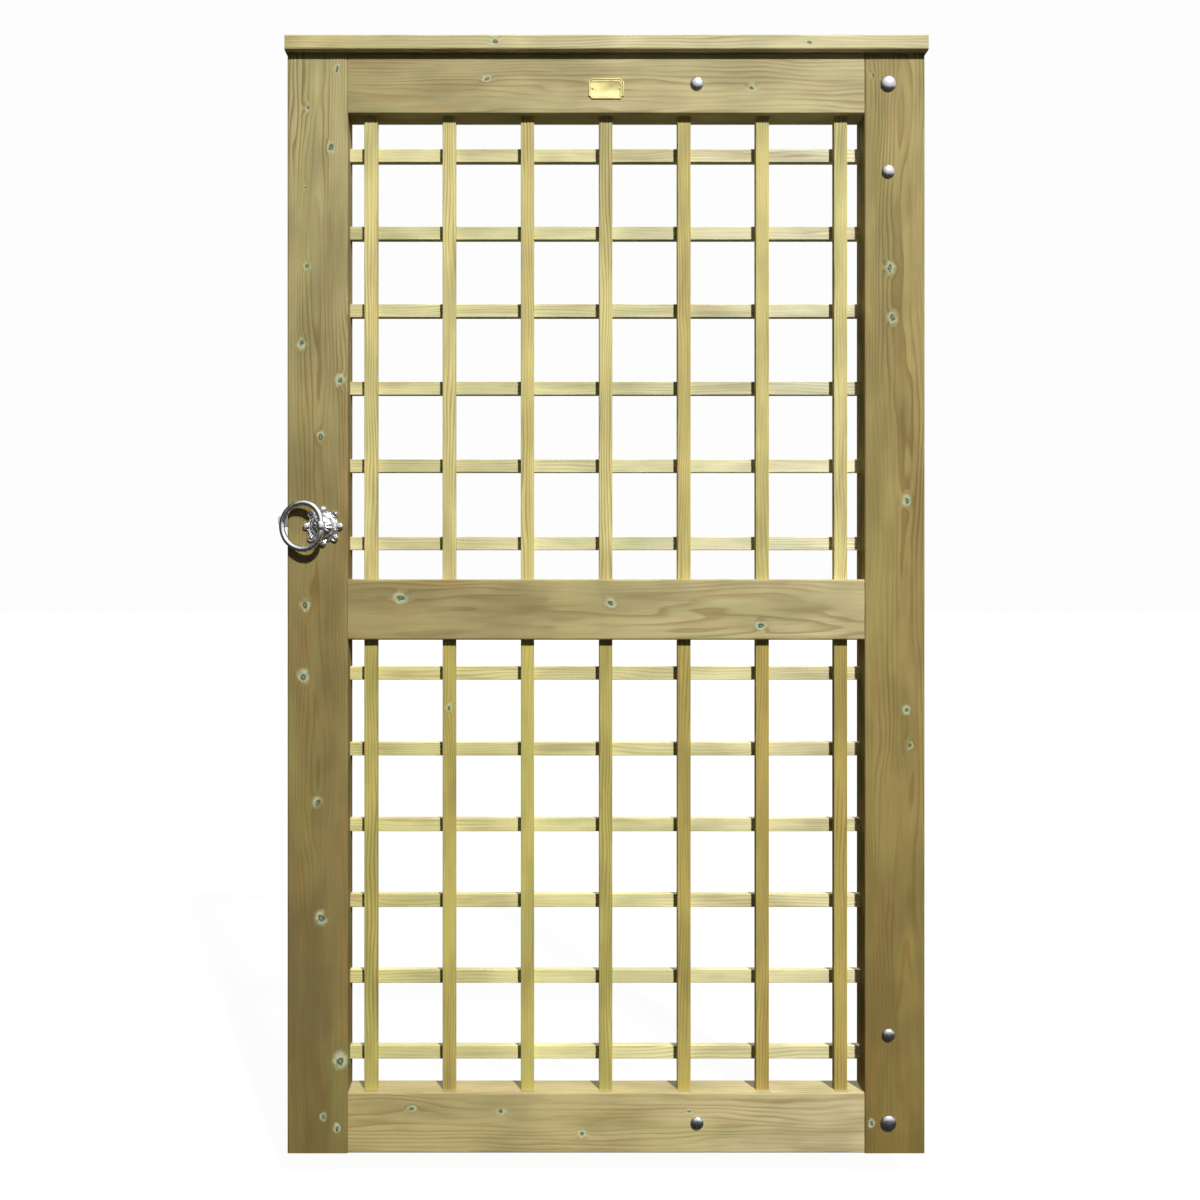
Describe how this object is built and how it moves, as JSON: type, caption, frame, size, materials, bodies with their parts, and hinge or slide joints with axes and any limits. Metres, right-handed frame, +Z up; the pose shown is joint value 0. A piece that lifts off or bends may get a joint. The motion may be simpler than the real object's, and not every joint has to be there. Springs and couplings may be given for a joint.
{
  "type": "garden gate",
  "caption": "Framed softwood garden gate with two trellis panels, a capping rail, hook-and-band hinges and a ring latch with a lifting bar.",
  "frame": {"origin": "centre of the lower hook plate's four screw holes, on the face that is screwed to the post", "axes": "+X along the shut gate from its latch edge to its hinge edge, +Y from the gate's front face to its back and into the post, +Z up"},
  "size_m": [1.028, 0.1052, 1.75],
  "materials": {
    "frame_timber": "planed pressure-treated softwood, green-brown, matt",
    "wedge_timber": "end grain of treated softwood, matt",
    "cap_timber": "planed pressure-treated softwood, paler, matt",
    "upright_timber": "planed pressure-treated lath, straw-coloured, matt",
    "crossbar_timber": "planed pressure-treated lath, pale straw, matt",
    "plaque_brass": "pressed brass, satin",
    "galvanised_iron": "bright galvanised cast iron",
    "galvanised_steel": "hot-dip galvanised steel, satin with spangle",
    "bright_zinc": "bright zinc-plated steel",
    "dull_zinc": "dull zinc-plated steel"
  },
  "bodies": {
    "hooks": {"upper_hinge_hook": "galvanised_steel", "lower_hinge_hook": "galvanised_steel"},
    "leaf": {"latch_stile": "frame_timber", "hanging_stile": "frame_timber", "top_rail": "frame_timber", "middle_rail": "frame_timber", "bottom_rail": "frame_timber", "tenon_wedges": "wedge_timber", "cap_rail": "cap_timber", "cap_screws": "dull_zinc", "upper_upright_1": "upright_timber", "upper_upright_2": "upright_timber", "upper_upright_3": "upright_timber", "upper_upright_4": "upright_timber", "upper_upright_5": "upright_timber", "upper_upright_6": "upright_timber", "upper_upright_7": "upright_timber", "upper_crossbar_1": "crossbar_timber", "upper_crossbar_2": "crossbar_timber", "upper_crossbar_3": "crossbar_timber", "upper_crossbar_4": "crossbar_timber", "upper_crossbar_5": "crossbar_timber", "upper_crossbar_6": "crossbar_timber", "lower_upright_1": "upright_timber", "lower_upright_2": "upright_timber", "lower_upright_3": "upright_timber", "lower_upright_4": "upright_timber", "lower_upright_5": "upright_timber", "lower_upright_6": "upright_timber", "lower_upright_7": "upright_timber", "lower_crossbar_1": "crossbar_timber", "lower_crossbar_2": "crossbar_timber", "lower_crossbar_3": "crossbar_timber", "lower_crossbar_4": "crossbar_timber", "lower_crossbar_5": "crossbar_timber", "lower_crossbar_6": "crossbar_timber", "upper_trellis_pins": "dull_zinc", "lower_trellis_pins": "dull_zinc", "plaque": "plaque_brass", "plaque_pins": "plaque_brass", "upper_hinge_band": "galvanised_steel", "lower_hinge_band": "galvanised_steel", "corner_bolts": "bright_zinc", "corner_washers": "bright_zinc", "corner_nuts": "bright_zinc", "band_bolts": "bright_zinc", "band_washers": "bright_zinc", "band_nuts": "bright_zinc", "front_rose": "galvanised_iron", "rose_screws": "dull_zinc", "rear_rose": "galvanised_steel", "rear_rose_screws": "dull_zinc", "bar_guide": "galvanised_steel", "guide_screws": "dull_zinc"},
    "latch": {"ring_boss": "galvanised_iron", "spindle_bar": "dull_zinc", "latch_bar": "galvanised_steel", "bar_screw": "dull_zinc"},
    "ring": {"ring": "galvanised_iron"}
  },
  "joints": [
    {"name": "leaf_swing", "type": "hinge", "parent": "hooks", "child": "leaf", "pos_m": [0.031, -0.02098, 0], "axis": [0, 0, 1], "range_deg": [0, 95]},
    {"name": "latch_turn", "type": "hinge", "parent": "leaf", "child": "latch", "pos_m": [-0.9006, -0.07796, 0.9198], "axis": [0, 1, 0], "range_deg": [0, 24]},
    {"name": "ring_swing", "type": "hinge", "parent": "latch", "child": "ring", "pos_m": [-0.9006, -0.09796, 0.9198], "axis": [0, 0, 1], "range_deg": [0, 200]}
  ]
}
